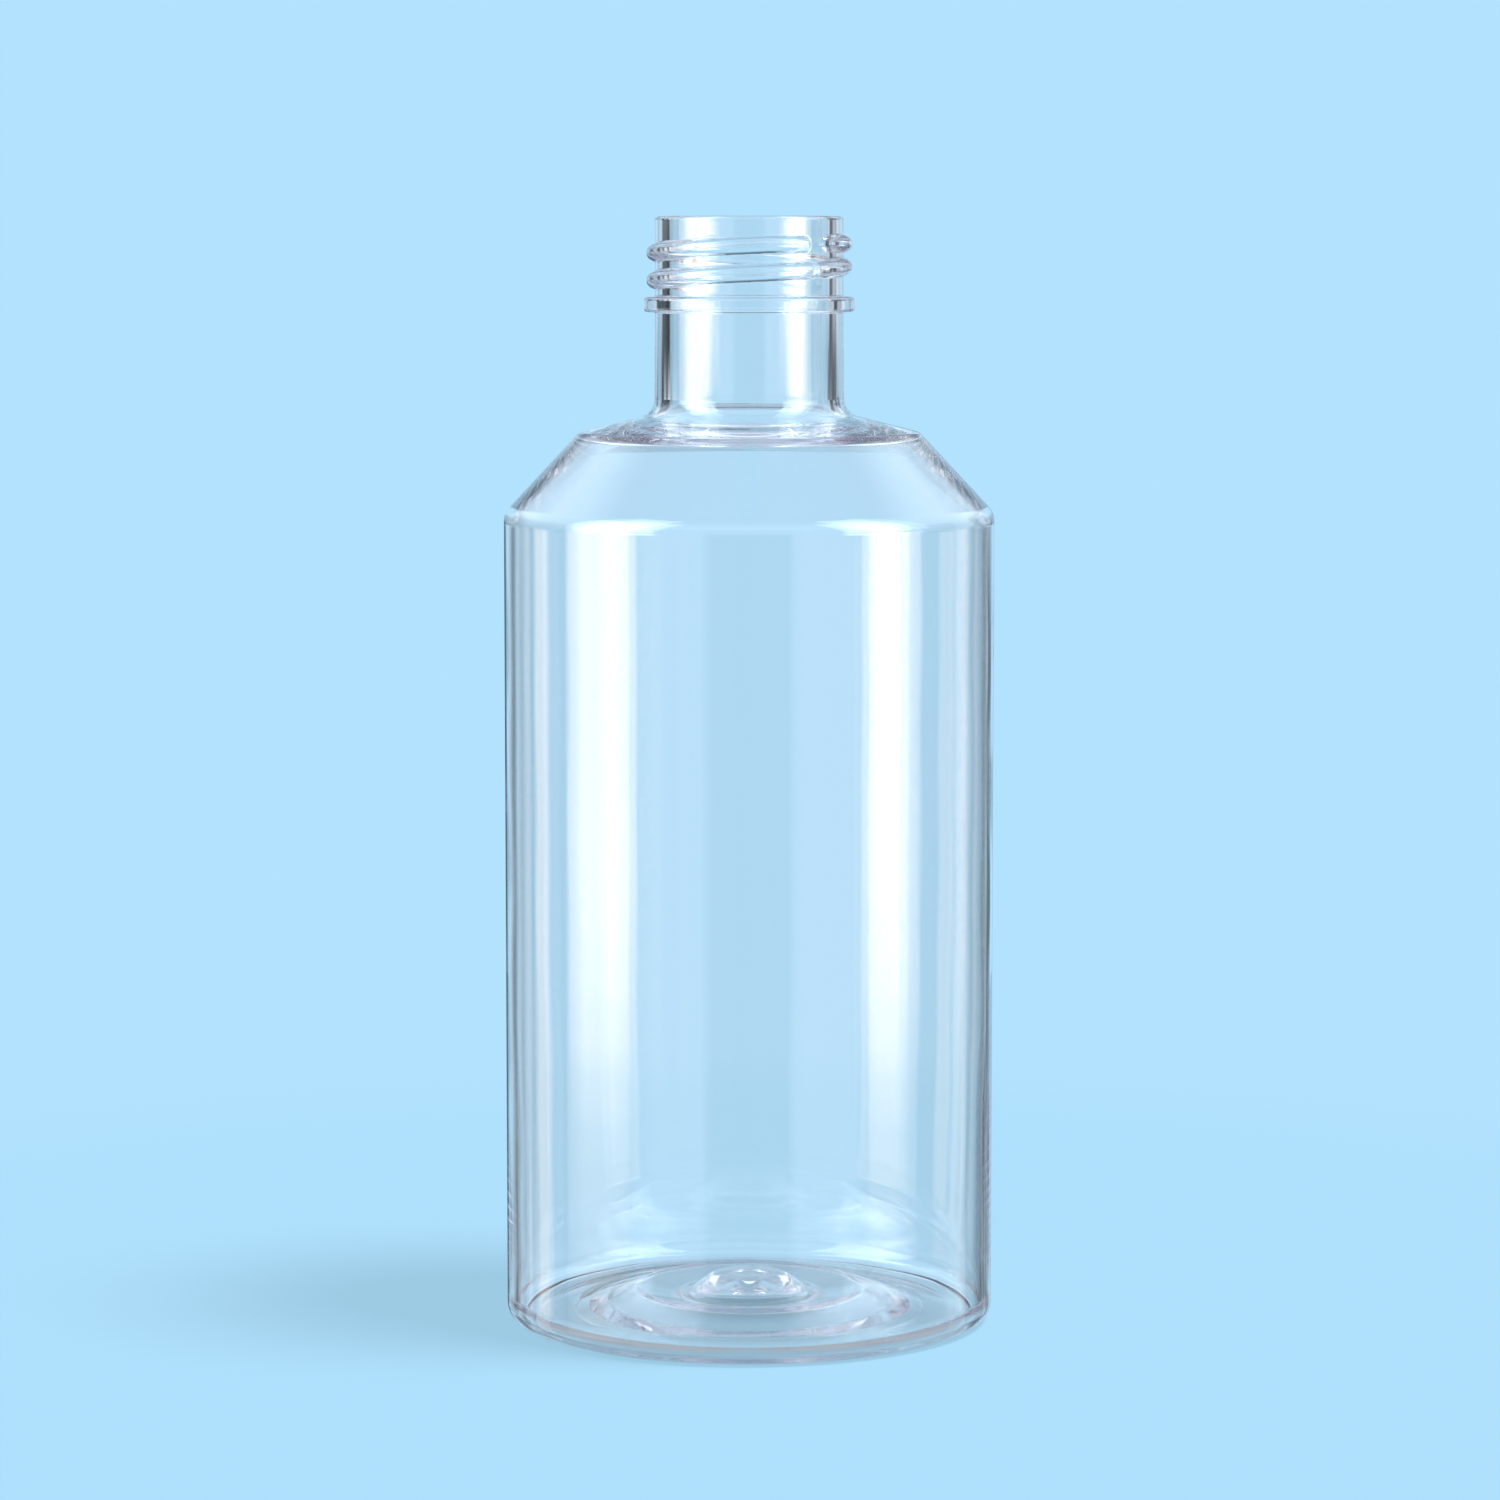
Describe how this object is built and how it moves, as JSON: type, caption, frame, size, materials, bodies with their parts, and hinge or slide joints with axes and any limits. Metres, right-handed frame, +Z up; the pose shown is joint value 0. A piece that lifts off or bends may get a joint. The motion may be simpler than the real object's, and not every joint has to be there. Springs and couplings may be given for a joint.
{
  "type": "clear plastic bottle",
  "caption": "Empty clear plastic bottle: straight round body, bevelled shoulder, threaded neck with a carrying bead, stepped push-up base, open mouth.",
  "frame": {"origin": "centre of the standing ring, on the surface the bottle stands on", "axes": "+Z up along the bottle's axis, towards the mouth; the bottle is round, so X and Y are free"},
  "size_m": [0.057, 0.057, 0.1291],
  "materials": {
    "clear_plastic": "gloss-blown clear polyester, colourless in the thin body and faintly blue-grey where it is thick"
  },
  "bodies": {
    "root": {"bottle": "clear_plastic"}
  },
  "joints": []
}
